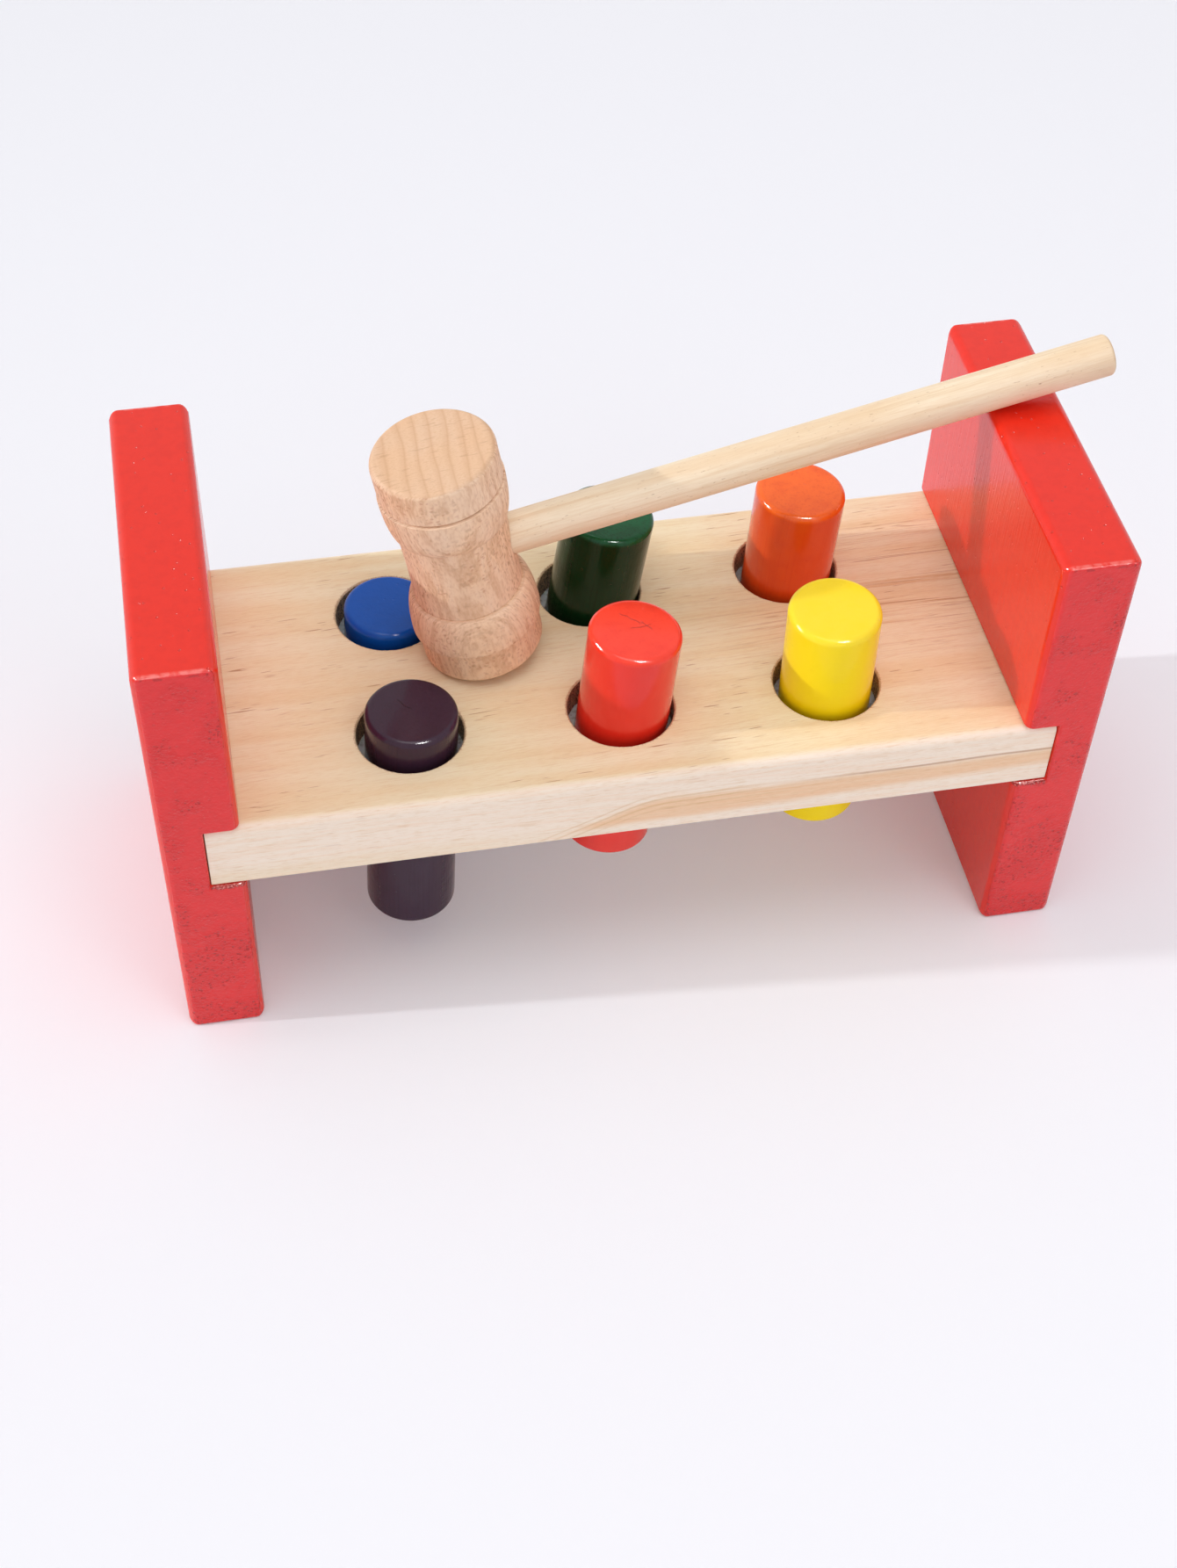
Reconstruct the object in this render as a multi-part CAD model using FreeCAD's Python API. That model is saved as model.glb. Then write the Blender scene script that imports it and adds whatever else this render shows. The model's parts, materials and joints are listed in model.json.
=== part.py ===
"""A wooden pounding bench for a small child.

Two painted end panels carry a pine deck in through dados. Six painted pegs stand in the deck, each
held by a soft ring at mid-depth of its hole. A turned hammer lies with its head on the deck and
its handle on the right panel.

Frame: millimetres, +Z up, +X along the deck towards the right panel, +Y towards the back.
The origin is on the table, midway between the panels and midway across their depth.
"""
import FreeCAD
import Part

import math
import os

V = FreeCAD.Vector
X_AXIS = V(1, 0, 0)
Y_AXIS = V(0, 1, 0)
Z_AXIS = V(0, 0, 1)

# End panels
bench_length = 220.0
panel_thickness = 18.4
panel_depth = 88.2
panel_height = 122.0
panel_edge_radius = 2.2

# Deck and the dados that hold it
deck_setback = 0.8
deck_thickness = 18.9
deck_top_edge_radius = 2.4
deck_bottom_edge_radius = 0.8
dado_depth = 8.3
dado_clearance = 0.04

# Pegs, the play round them in their holes, and the room left under a peg knocked in flush
peg_diameter = 21.8
peg_length = 65.0
peg_edge_radius = 1.5
peg_play = 1.7
peg_floor_gap = 5.7

# Peg holes
hole_edge_break = 0.35
column_spacing = 49.9
column_offset = -0.3
row_spacing = 40.2
row_offset = -0.4

# Friction rings
ring_height = 4.6
ring_seat_depth = 1.1
ring_seat_clearance = 0.03
ring_peg_clearance = 0.05
ring_lip_radius = 0.8

# Hammer head, a turned piece with a drum and a bead at each end of a slim waist
head_length = 61.0
head_drum_radius = 14.4
head_drum_length = 9.3
head_drum_edge_radius = 1.3
head_groove_depth = 0.7
head_groove_width = 0.9
head_upper_bead_rise = 1.6
head_lower_bead_rise = 2.3
head_bead_length = 10.5
head_shoulder_radius = 13.1
head_shoulder_step = 0.3
head_waist_radius = 12.6

# Hammer handle, glued in a blind hole across the head
handle_diameter = 9.8
handle_reach = 157.5
handle_end_radius = 1.0
handle_hole_clearance = 0.04
handle_hole_wall = 5.0

# Where the hammer lies: beside the blue peg, its handle turned a little towards the back
hammer_peg_gap = 0.47
hammer_y = 4.5
hammer_swing = 3.7
hammer_rest_gap = 0.2

# Each peg: column, row, how far its top stands above the deck, and how far it leans towards
# +X and +Y, as shares of the most that its hole allows
PEGS = {
    "blue": {"column": -1, "row": 1, "proud": 2.6, "lean": (0.157, 0.0)},
    "green": {"column": 0, "row": 1, "proud": 24.8, "lean": (0.745, 0.0)},
    "orange": {"column": 1, "row": 1, "proud": 25.4, "lean": (0.284, 0.0)},
    "purple": {"column": -1, "row": -1, "proud": 7.2, "lean": (0.196, 0.0)},
    "red": {"column": 0, "row": -1, "proud": 24.1, "lean": (0.48, 0.118)},
    "yellow": {"column": 1, "row": -1, "proud": 24.9, "lean": (-0.098, -0.157)},
}

# Worked-out sizes and places
deck_width = panel_depth - 2 * deck_setback
deck_top = peg_length + peg_floor_gap
deck_underside = deck_top - deck_thickness
deck_middle = deck_underside + deck_thickness / 2
peg_radius = peg_diameter / 2
hole_radius = peg_radius + peg_play
most_lean = math.atan(2 * peg_play / deck_thickness)
handle_radius = handle_diameter / 2
ring_seat_radius = hole_radius + ring_seat_depth
inner_face_x = bench_length / 2 - panel_thickness
dado_floor_x = inner_face_x + dado_depth
groove_middle = head_length / 2 - head_drum_length
drum_foot = groove_middle + head_groove_width / 2
bead_top = groove_middle - head_groove_width / 2
waist_edge = groove_middle - head_bead_length
waist_edge_radius = head_shoulder_radius - head_shoulder_step

# A quarter ellipse's handle length as a share of its half axis, and the sine of 45 degrees
ELLIPSE = 0.5523
DIAGONAL = math.sqrt(0.5)


def tidy(shape):
    """One valid solid, facing outwards, from a boolean's result."""
    solid = shape.removeSplitter().Solids[0]
    if solid.Volume < 0:
        solid.reverse()
    return solid


def edges_along(shape, direction, test):
    """The straight edges parallel to a direction whose middle point passes a test."""
    found = []
    for edge in shape.Edges:
        if not isinstance(edge.Curve, (Part.Line, Part.LineSegment)):
            continue
        along = edge.tangentAt(edge.FirstParameter)
        if abs(along.dot(direction)) > 0.999 and test(edge.CenterOfMass):
            found.append(edge)
    return found


def end_panel(side):
    """An end panel with its broad faces' edges eased; side is -1 for left and +1 for right."""
    low_x = side * bench_length / 2 - (panel_thickness if side > 0 else 0)
    board = Part.makeBox(panel_thickness, panel_depth, panel_height, V(low_x, -panel_depth / 2, 0))
    rims = edges_along(board, Y_AXIS, lambda p: True) + edges_along(board, Z_AXIS, lambda p: True)
    board = board.makeFillet(panel_edge_radius, rims)
    slot_height = deck_thickness + 2 * dado_clearance
    slot_x = inner_face_x if side > 0 else -dado_floor_x
    slot = Part.makeBox(
        dado_depth,
        panel_depth,
        slot_height,
        V(slot_x, -panel_depth / 2, deck_underside - dado_clearance),
    )
    return tidy(board.cut(slot))


def hole_place(peg):
    """The centre of a peg's hole at the deck's mid-thickness."""
    x = column_offset + peg["column"] * column_spacing
    y = row_offset + peg["row"] * row_spacing / 2
    return V(x, y, deck_middle)


def peg_axis(peg):
    """The unit vector up along a leaning peg."""
    lean_x, lean_y = peg["lean"]
    axis = V(math.tan(lean_x * most_lean), math.tan(lean_y * most_lean), 1)
    return axis.normalize()


def hole_cutter(centre):
    """The hole's bore, its broken edges and the ring's groove, as one solid of revolution."""
    half = deck_thickness / 2
    half_ring = ring_height / 2 + ring_seat_clearance
    profile = [
        (0, -half - 1),
        (hole_radius + hole_edge_break + 1, -half - 1),
        (hole_radius, -half + hole_edge_break),
        (hole_radius, -half_ring),
        (ring_seat_radius, -half_ring),
        (ring_seat_radius, half_ring),
        (hole_radius, half_ring),
        (hole_radius, half - hole_edge_break),
        (hole_radius + hole_edge_break + 1, half + 1),
        (0, half + 1),
        (0, -half - 1),
    ]
    wire = Part.makePolygon([V(r, 0, z) for r, z in profile])
    cutter = Part.Face(wire).revolve(V(0, 0, 0), Z_AXIS, 360)
    cutter.translate(centre)
    return cutter


def deck():
    """The plank between the panels, with its eased long edges, holes and ring grooves."""
    length = 2 * dado_floor_x
    corner = V(-length / 2, -deck_width / 2, deck_underside)
    plank = Part.makeBox(length, deck_width, deck_thickness, corner)
    upper = edges_along(plank, X_AXIS, lambda p: p.z > deck_middle)
    plank = plank.makeFillet(deck_top_edge_radius, upper)
    lower = edges_along(plank, X_AXIS, lambda p: abs(p.z - deck_underside) < 0.01)
    plank = plank.makeFillet(deck_bottom_edge_radius, lower)
    for peg in PEGS.values():
        plank = plank.cut(hole_cutter(hole_place(peg)))
    return tidy(plank)


def rod(base, axis, radius, length):
    """A plain cylinder from a base point along an axis."""
    return Part.makeCylinder(radius, length, base, axis)


def peg_top(peg):
    """The centre of a peg's top face."""
    axis = peg_axis(peg)
    return hole_place(peg) + axis * ((deck_thickness / 2 + peg["proud"]) / axis.z)


def peg_solid(peg):
    """A peg with both ends rounded."""
    axis = peg_axis(peg)
    foot = peg_top(peg) - axis * peg_length
    dowel = rod(foot, axis, peg_radius, peg_length)
    rims = [edge for edge in dowel.Edges if isinstance(edge.Curve, Part.Circle)]
    return tidy(dowel.makeFillet(peg_edge_radius, rims))


def friction_ring(peg):
    """A soft ring in the hole's groove, shaped round the leaning peg."""
    centre = hole_place(peg)
    outer = ring_seat_radius - ring_seat_clearance
    core = peg_radius - ring_lip_radius
    half = ring_height / 2
    lip = DIAGONAL * ring_lip_radius
    straight = [
        Part.LineSegment(V(core + ring_lip_radius, 0, -half), V(outer, 0, -half)),
        Part.LineSegment(V(outer, 0, -half), V(outer, 0, half)),
        Part.LineSegment(V(outer, 0, half), V(core + ring_lip_radius, 0, half)),
        Part.Arc(
            V(core + ring_lip_radius, 0, half),
            V(core + ring_lip_radius - lip, 0, half - ring_lip_radius + lip),
            V(core, 0, half - ring_lip_radius),
        ),
        Part.LineSegment(V(core, 0, half - ring_lip_radius), V(core, 0, ring_lip_radius - half)),
        Part.Arc(
            V(core, 0, ring_lip_radius - half),
            V(core + ring_lip_radius - lip, 0, ring_lip_radius - lip - half),
            V(core + ring_lip_radius, 0, -half),
        ),
    ]
    section = Part.Face(Part.Wire([piece.toShape() for piece in straight]))
    ring = section.revolve(V(0, 0, 0), Z_AXIS, 360)
    ring.translate(centre)
    axis = peg_axis(peg)
    bore = rod(centre - axis * peg_length, axis, peg_radius + ring_peg_clearance, 2 * peg_length)
    return tidy(ring.cut(bore))


def bezier(*poles):
    """A Bezier curve through its first and last poles."""
    curve = Part.BezierCurve()
    curve.setPoles(list(poles))
    return curve


def head_end_profile(sign, bead_rise):
    """The turned outline from the waist's edge to one end of the head, as (radius, height) edges."""
    bead_radius = head_shoulder_radius + bead_rise
    end = head_length / 2
    ease = head_drum_edge_radius
    groove_floor = head_drum_radius - head_groove_depth

    def at(radius, height):
        return V(radius, 0, sign * height)

    return [
        Part.LineSegment(at(waist_edge_radius, waist_edge), at(head_shoulder_radius, waist_edge)),
        bezier(
            at(head_shoulder_radius, waist_edge),
            at(head_shoulder_radius + ELLIPSE * bead_rise, waist_edge),
            at(bead_radius, bead_top - ELLIPSE * (bead_top - waist_edge)),
            at(bead_radius, bead_top),
        ),
        Part.LineSegment(at(bead_radius, bead_top), at(groove_floor, groove_middle)),
        Part.LineSegment(at(groove_floor, groove_middle), at(head_drum_radius, drum_foot)),
        Part.LineSegment(at(head_drum_radius, drum_foot), at(head_drum_radius, end - ease)),
        Part.Arc(
            at(head_drum_radius, end - ease),
            at(head_drum_radius - ease * (1 - DIAGONAL), end - ease * (1 - DIAGONAL)),
            at(head_drum_radius - ease, end),
        ),
        Part.LineSegment(at(head_drum_radius - ease, end), at(0, end)),
    ]


def turned_head():
    """The head about the Z axis, centred on the origin, with its handle hole along +X."""
    hollow = 2 * head_waist_radius - waist_edge_radius
    waist = bezier(
        V(waist_edge_radius, 0, -waist_edge), V(hollow, 0, 0), V(waist_edge_radius, 0, waist_edge)
    )
    spine = Part.LineSegment(V(0, 0, -head_length / 2), V(0, 0, head_length / 2))
    lower_end = head_end_profile(-1, head_lower_bead_rise)
    upper_end = head_end_profile(1, head_upper_bead_rise)
    outline = lower_end + [waist] + upper_end + [spine]
    edges = [piece.toShape() for piece in outline]
    section = Part.Face(Part.Wire(Part.__sortEdges__(edges)))
    blank = section.revolve(V(0, 0, 0), Z_AXIS, 360)
    if blank.ShapeType != "Solid":
        blank = blank.Solids[0]
    hole_floor = handle_hole_wall - head_waist_radius
    hole_radius_here = handle_radius + handle_hole_clearance
    hole = rod(V(hole_floor, 0, 0), X_AXIS, hole_radius_here, head_length)
    return tidy(blank.cut(hole))


def straight_handle():
    """The handle along +X from the floor of its hole, with its free end rounded."""
    start = handle_hole_wall - head_waist_radius
    dowel = rod(V(start, 0, 0), X_AXIS, handle_radius, handle_reach - start)
    rim = [
        edge
        for edge in dowel.Edges
        if isinstance(edge.Curve, Part.Circle) and edge.CenterOfMass.x > 0
    ]
    return tidy(dowel.makeFillet(handle_end_radius, rim))


def head_height(tilt):
    """How high the head's centre is when the rounded rim of its lower end rests on the deck."""
    ease = head_drum_edge_radius
    reach = (head_length / 2 - ease) * math.cos(tilt) + (head_drum_radius - ease) * math.sin(tilt)
    return deck_top + hammer_rest_gap + reach + ease


def head_x(tilt):
    """Where the head's centre is along X when its lower end stands clear of the blue peg."""
    swing = math.radians(hammer_swing)
    peg = peg_top(PEGS["blue"])
    drift = (head_height(tilt) - peg.z) * math.tan(tilt)
    reach = head_drum_radius + peg_radius + hammer_peg_gap
    across = hammer_y + drift * math.sin(swing) - peg.y
    return peg.x + math.sqrt(reach**2 - across**2) - drift * math.cos(swing)


def handle_gap(tilt):
    """How far the handle stands off the right panel's rounded top inner edge, at a tilt."""
    swing = math.radians(hammer_swing)
    run = math.cos(tilt) * math.cos(swing)
    rise = math.sin(tilt)
    along = inner_face_x + panel_edge_radius - head_x(tilt)
    above = head_height(tilt) - panel_height + panel_edge_radius
    across = (above * run + along * rise) / math.hypot(run, rise)
    return across - handle_radius - panel_edge_radius


def resting_tilt():
    """The tilt at which the head rests on the deck and the handle on the right panel."""
    low = 0.0
    high = math.radians(45)
    while high - low > 1e-9:
        middle = (low + high) / 2
        if handle_gap(middle) < hammer_rest_gap:
            low = middle
        else:
            high = middle
    return high


def lay_hammer(shape):
    """Move a hammer piece from its own frame to where the hammer lies."""
    tilt = resting_tilt()
    placed = shape.copy()
    placed.rotate(V(0, 0, 0), Y_AXIS, -math.degrees(tilt))
    placed.rotate(V(0, 0, 0), Z_AXIS, hammer_swing)
    placed.translate(V(head_x(tilt), hammer_y, head_height(tilt)))
    return placed


def build():
    """Every piece of the object, by name."""
    pieces = {
        "left_end_panel": end_panel(-1),
        "right_end_panel": end_panel(1),
        "bench_deck": deck(),
    }
    for colour, peg in PEGS.items():
        pieces[f"{colour}_peg"] = peg_solid(peg)
        pieces[f"{colour}_ring"] = friction_ring(peg)
    pieces["hammer_head"] = lay_hammer(turned_head())
    pieces["hammer_handle"] = lay_hammer(straight_handle())
    return pieces


os.makedirs("parts", exist_ok=True)
for name, solid in build().items():
    solid.exportStep(f"parts/{name}.step")
    box = solid.BoundBox
    print(
        f"{name}: valid {solid.isValid()}, {solid.Volume:.0f} mm3, "
        f"x {box.XMin:.1f}..{box.XMax:.1f}, y {box.YMin:.1f}..{box.YMax:.1f}, "
        f"z {box.ZMin:.1f}..{box.ZMax:.1f}"
    )
print(f"hammer tilt {math.degrees(resting_tilt()):.2f} degrees, head at x {head_x(resting_tilt()):.2f}")
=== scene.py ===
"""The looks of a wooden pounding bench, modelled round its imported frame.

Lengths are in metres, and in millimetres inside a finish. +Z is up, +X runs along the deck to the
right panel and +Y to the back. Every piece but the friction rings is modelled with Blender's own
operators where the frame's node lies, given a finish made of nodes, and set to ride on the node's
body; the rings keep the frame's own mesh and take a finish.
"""

import json
import logging
import math
import random
from collections.abc import Callable, Iterator
from contextlib import contextmanager
from dataclasses import dataclass, field
from enum import Enum

import bmesh
import bpy
from mathutils import Matrix, Vector

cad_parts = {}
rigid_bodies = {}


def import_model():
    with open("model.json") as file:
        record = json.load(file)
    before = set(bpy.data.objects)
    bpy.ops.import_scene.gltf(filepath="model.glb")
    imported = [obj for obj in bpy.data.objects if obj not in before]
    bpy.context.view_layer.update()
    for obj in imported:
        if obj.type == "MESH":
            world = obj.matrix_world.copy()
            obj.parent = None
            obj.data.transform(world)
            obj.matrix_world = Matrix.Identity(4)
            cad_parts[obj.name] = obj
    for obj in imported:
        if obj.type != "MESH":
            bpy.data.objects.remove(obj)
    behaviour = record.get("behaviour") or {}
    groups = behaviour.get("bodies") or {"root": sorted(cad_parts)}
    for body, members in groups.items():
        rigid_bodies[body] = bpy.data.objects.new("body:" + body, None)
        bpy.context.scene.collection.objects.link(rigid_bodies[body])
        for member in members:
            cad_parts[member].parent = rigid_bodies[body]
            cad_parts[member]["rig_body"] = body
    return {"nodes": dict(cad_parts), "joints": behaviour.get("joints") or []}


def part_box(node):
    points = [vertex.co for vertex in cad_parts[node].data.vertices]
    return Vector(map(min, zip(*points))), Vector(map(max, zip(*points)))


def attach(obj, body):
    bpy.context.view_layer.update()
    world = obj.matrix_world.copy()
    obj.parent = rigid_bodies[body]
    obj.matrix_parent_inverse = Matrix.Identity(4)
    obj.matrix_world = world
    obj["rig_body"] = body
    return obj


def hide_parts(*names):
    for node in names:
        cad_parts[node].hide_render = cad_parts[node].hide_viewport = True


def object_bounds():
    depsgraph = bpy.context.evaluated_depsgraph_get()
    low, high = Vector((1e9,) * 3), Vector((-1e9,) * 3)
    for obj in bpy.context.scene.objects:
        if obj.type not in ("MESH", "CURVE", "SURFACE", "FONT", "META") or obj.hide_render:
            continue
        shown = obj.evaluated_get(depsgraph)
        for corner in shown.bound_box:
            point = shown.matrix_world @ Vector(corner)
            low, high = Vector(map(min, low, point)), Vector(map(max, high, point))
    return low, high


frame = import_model()
cad_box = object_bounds()

LOG = logging.getLogger("pounding_bench")
MM = 0.001
PER_MM = 1000.0
SOFT_TURN = math.radians(32)
HARD_TURN = math.radians(60)
ORIGIN = Vector((0, 0, 0))
X_AXIS = Vector((1, 0, 0))
Y_AXIS = Vector((0, 1, 0))
Z_AXIS = Vector((0, 0, 1))

Colour = tuple[float, float, float]
Outline = list[tuple[float, float]]


class Side(Enum):
    """The two end panels, by the way that each lies from the middle."""

    LEFT = -1
    RIGHT = 1


class Shine(Enum):
    """What a lamp does: light everything, or only sparkle on gloss."""

    FULL = "full"
    SPARKLE = "sparkle"


class Depth(Enum):
    """Whether relief stands out or is pressed in, as a Bump node's invert setting."""

    RAISED = False
    SUNK = True


def shown(red: int, green: int, blue: int) -> Colour:
    """Turn a colour as a screen shows it, 0 to 255, into the linear values that nodes take.

    Args:
        red: The red channel.
        green: The green channel.
        blue: The blue channel.

    Returns:
        The linear red, green and blue.
    """

    def linear(level: int) -> float:
        """One channel, by the screen's own curve."""
        share = level / 255
        return share / 12.92 if share <= 0.04045 else ((share + 0.055) / 1.055) ** 2.4

    return linear(red), linear(green), linear(blue)


# --------------------------------------------------------------------------------------------
# Modelling
# --------------------------------------------------------------------------------------------


def only(piece: bpy.types.Object) -> None:
    """Select one object alone and make it the active one.

    Args:
        piece: The object.
    """
    bpy.ops.object.select_all(action="DESELECT")
    piece.select_set(True)
    bpy.context.view_layer.objects.active = piece


def settle(name: str) -> bpy.types.Object:
    """Name the active object and move its place and turn into its mesh.

    Args:
        name: The name of the piece.

    Returns:
        The piece, with its object at the origin.
    """
    piece = bpy.context.active_object
    piece.name = piece.data.name = name
    only(piece)
    bpy.ops.object.transform_apply(location=True, rotation=True, scale=True)
    return piece


def block(name: str, low: Vector, high: Vector) -> bpy.types.Object:
    """Start a piece from a cube between two corners.

    Args:
        name: The name of the new piece.
        low: The lowest corner.
        high: The highest corner.

    Returns:
        The piece.
    """
    bpy.ops.mesh.primitive_cube_add(size=1, location=(low + high) / 2, scale=high - low)
    return settle(name)


def dowel(name: str, start: Vector, end: Vector, radius: float, sides: int) -> bpy.types.Object:
    """Start a piece from a cylinder between the centres of its two ends.

    Args:
        name: The name of the new piece.
        start: The centre of one end.
        end: The centre of the other end.
        radius: The radius.
        sides: The number of faces round it.

    Returns:
        The piece.
    """
    run = end - start
    bpy.ops.mesh.primitive_cylinder_add(
        vertices=sides,
        radius=radius,
        depth=run.length,
        location=(start + end) / 2,
        rotation=run.to_track_quat("Z", "Y").to_euler(),
    )
    return settle(name)


@contextmanager
def edit_mode(piece: bpy.types.Object) -> Iterator[None]:
    """Keep a piece in edit mode for as long as the block lasts.

    Args:
        piece: The piece.
    """
    only(piece)
    bpy.ops.object.mode_set(mode="EDIT")
    yield
    bpy.ops.object.mode_set(mode="OBJECT")


def pick_edges(piece: bpy.types.Object, test: Callable[[bmesh.types.BMEdge], bool]) -> None:
    """Select, in edit mode, only the edges that pass a test.

    Args:
        piece: The piece in edit mode.
        test: What an edge has to pass.
    """
    bpy.ops.mesh.select_mode(type="EDGE")
    bpy.ops.mesh.select_all(action="DESELECT")
    for edge in bmesh.from_edit_mesh(piece.data).edges:
        if test(edge):
            edge.select_set(True)
    bmesh.update_edit_mesh(piece.data)


def pick_sharp(turn: float) -> None:
    """Select, in edit mode, only the edges where the surface turns by more than an angle.

    Args:
        turn: The angle.
    """
    bpy.ops.mesh.select_mode(type="EDGE")
    bpy.ops.mesh.select_all(action="DESELECT")
    bpy.ops.mesh.edges_select_sharp(sharpness=turn)


def round_edges(width: float, segments: int, clamp: bool = False) -> None:
    """Round, in edit mode, the edges that are selected.

    Args:
        width: How far the rounding reaches from an edge.
        segments: The number of faces across it.
        clamp: Whether it stops short of its neighbours.
    """
    bpy.ops.mesh.bevel(
        offset=width, offset_type="OFFSET", segments=segments, clamp_overlap=clamp
    )


def middle(edge: bmesh.types.BMEdge) -> Vector:
    """The middle point of an edge."""
    return (edge.verts[0].co + edge.verts[1].co) / 2


def runs_along(edge: bmesh.types.BMEdge, axis: Vector) -> bool:
    """Whether an edge is parallel to an axis."""
    return abs((edge.verts[1].co - edge.verts[0].co).normalized().dot(axis)) > 0.999


def midway(points: list[Vector], axis: Vector, level: float) -> Vector:
    """The middle of a ring of points about an axis.

    Args:
        points: The points.
        axis: The axis's direction.
        level: How far along the axis the middle is placed.

    Returns:
        The middle.
    """
    across = Z_AXIS.cross(axis).normalized()
    found = axis * level
    for direction in (across, axis.cross(across)):
        reaches = [point.dot(direction) for point in points]
        found += direction * (min(reaches) + max(reaches)) / 2
    return found


def apply_modifier(piece: bpy.types.Object, kind: str, **settings: object) -> None:
    """Add a modifier to a piece and apply it.

    Args:
        piece: The piece.
        kind: Blender's name for the modifier.
        settings: The modifier's own settings.
    """
    only(piece)
    modifier = piece.modifiers.new("shape", kind)
    for name, value in settings.items():
        setattr(modifier, name, value)
    bpy.ops.object.modifier_apply(modifier=modifier.name)


def carve(piece: bpy.types.Object, cutter: bpy.types.Object) -> None:
    """Cut one object out of a piece and discard it."""
    apply_modifier(piece, "BOOLEAN", operation="DIFFERENCE", solver="EXACT", object=cutter)
    bpy.data.objects.remove(cutter)


def merge(name: str, pieces: list[bpy.types.Object]) -> bpy.types.Object:
    """Join several objects into one.

    Args:
        name: The name of the joined piece.
        pieces: The objects.

    Returns:
        The joined piece.
    """
    only(pieces[0])
    for piece in pieces:
        piece.select_set(True)
    bpy.ops.object.join()
    return settle(name)


def lathe(name: str, outline: Outline, steps: int) -> bpy.types.Object:
    """Turn an outline of (radius, height) points round the Z axis into a closed solid.

    Args:
        name: The name of the new piece.
        outline: The points, from one point of the axis to another.
        steps: The number of faces round it.

    Returns:
        The piece, standing at the origin.
    """
    bpy.ops.mesh.primitive_plane_add(size=MM)
    piece = settle(name)
    with edit_mode(piece):
        bpy.ops.mesh.select_mode(type="VERT")
        bpy.ops.mesh.select_all(action="SELECT")
        bpy.ops.mesh.merge(type="CENTER")
        place = ORIGIN.copy()
        for radius, height in outline:
            step = Vector((radius, 0, height)) - place
            if place == ORIGIN:
                bpy.ops.transform.translate(value=step)
            else:
                bpy.ops.mesh.extrude_region_move(TRANSFORM_OT_translate={"value": step})
            place += step
        bpy.ops.mesh.select_all(action="SELECT")
        bpy.ops.mesh.spin(steps=steps, angle=math.tau, center=ORIGIN, axis=Z_AXIS)
        bpy.ops.mesh.select_all(action="SELECT")
        bpy.ops.mesh.remove_doubles(threshold=MM / 200)
        bpy.ops.mesh.normals_make_consistent(inside=False)
    return piece


def quarter_turn(steps: int) -> list[tuple[float, float]]:
    """Even steps through a quarter of a circle.

    Args:
        steps: How many there are.

    Returns:
        The (sine, cosine) of the angle at every step, from 0.
    """
    angles = [step / steps * math.pi / 2 for step in range(steps + 1)]
    return [(math.sin(angle), math.cos(angle)) for angle in angles]


def place_by(piece: bpy.types.Object, place: Matrix) -> None:
    """Move a piece's mesh by a matrix, and leave its object at the origin.

    Args:
        piece: The piece.
        place: The matrix.
    """
    piece.matrix_world = place
    only(piece)
    bpy.ops.object.transform_apply(location=True, rotation=True, scale=True)


def finish_piece(
    piece: bpy.types.Object, finish: bpy.types.Material, node: str
) -> bpy.types.Object:
    """Dress a piece and put it in the place of a node of the frame.

    Args:
        piece: The piece.
        finish: Its material.
        node: The node that the piece stands for.

    Returns:
        The piece.
    """
    only(piece)
    bpy.ops.object.shade_smooth_by_angle(angle=SOFT_TURN)
    apply_modifier(piece, "WEIGHTED_NORMAL", keep_sharp=True)
    piece.data.materials.clear()
    piece.data.materials.append(finish)
    body = frame["nodes"][node]["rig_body"]
    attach(piece, body)
    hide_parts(node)
    return piece


# --------------------------------------------------------------------------------------------
# Nodes
# --------------------------------------------------------------------------------------------


@dataclass(frozen=True)
class Level:
    """A number or colour that a material's nodes work out at each point of a surface."""

    graph: "Graph"
    socket: bpy.types.NodeSocket

    def __add__(self, other: "Level | float") -> "Level":
        """The sum with another level or a number."""
        return self.math("ADD", other)

    def __sub__(self, other: "Level | float") -> "Level":
        """This level less another or a number."""
        return self.math("SUBTRACT", other)

    def __rsub__(self, other: float) -> "Level":
        """A number less this level."""
        return self.graph.math("SUBTRACT", other, self)

    def __mul__(self, other: "Level | float") -> "Level":
        """The product with another level or a number."""
        return self.math("MULTIPLY", other)

    def __abs__(self) -> "Level":
        """The level without its sign."""
        return self.math("ABSOLUTE")

    def math(self, operation: str, *others: "Level | float") -> "Level":
        """One Math node, with this level first."""
        return self.graph.math(operation, self, *others)

    def band(self, low: float, high: float) -> "Level":
        """A smooth step from 0 at one level to 1 at another, which may be the smaller.

        Args:
            low: Where it is 0.
            high: Where it is 1.

        Returns:
            The step.
        """
        node = self.graph.node("MapRange", interpolation_type="SMOOTHSTEP")
        self.graph.feed(node.inputs["Value"], self)
        node.inputs["From Min"].default_value = min(low, high)
        node.inputs["From Max"].default_value = max(low, high)
        node.inputs["To Min"].default_value = 0.0 if low < high else 1.0
        node.inputs["To Max"].default_value = 1.0 if low < high else 0.0
        return Level(self.graph, node.outputs[0])

    def near(self, level: float, far: float, close: float) -> "Level":
        """A smooth step by distance from a level: 0 from far on, and 1 within close."""
        return abs(self - level).band(far, close)

    def most(self, other: "Level") -> "Level":
        """The larger of two levels."""
        return self.math("MAXIMUM", other)

    def ramp(self, *stops: tuple[float, float]) -> "Level":
        """A curve through stops.

        Args:
            stops: The (place, level) of each stop.

        Returns:
            The curve's level.
        """
        node = self.graph.node("ValToRGB")
        points = node.color_ramp.elements
        while len(points) < len(stops):
            points.new(0.5)
        for point, (place, level) in zip(points, stops):
            point.position = place
            point.color = (level, level, level, 1.0)
        self.graph.feed(node.inputs[0], self)
        return Level(self.graph, node.outputs[0])


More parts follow.
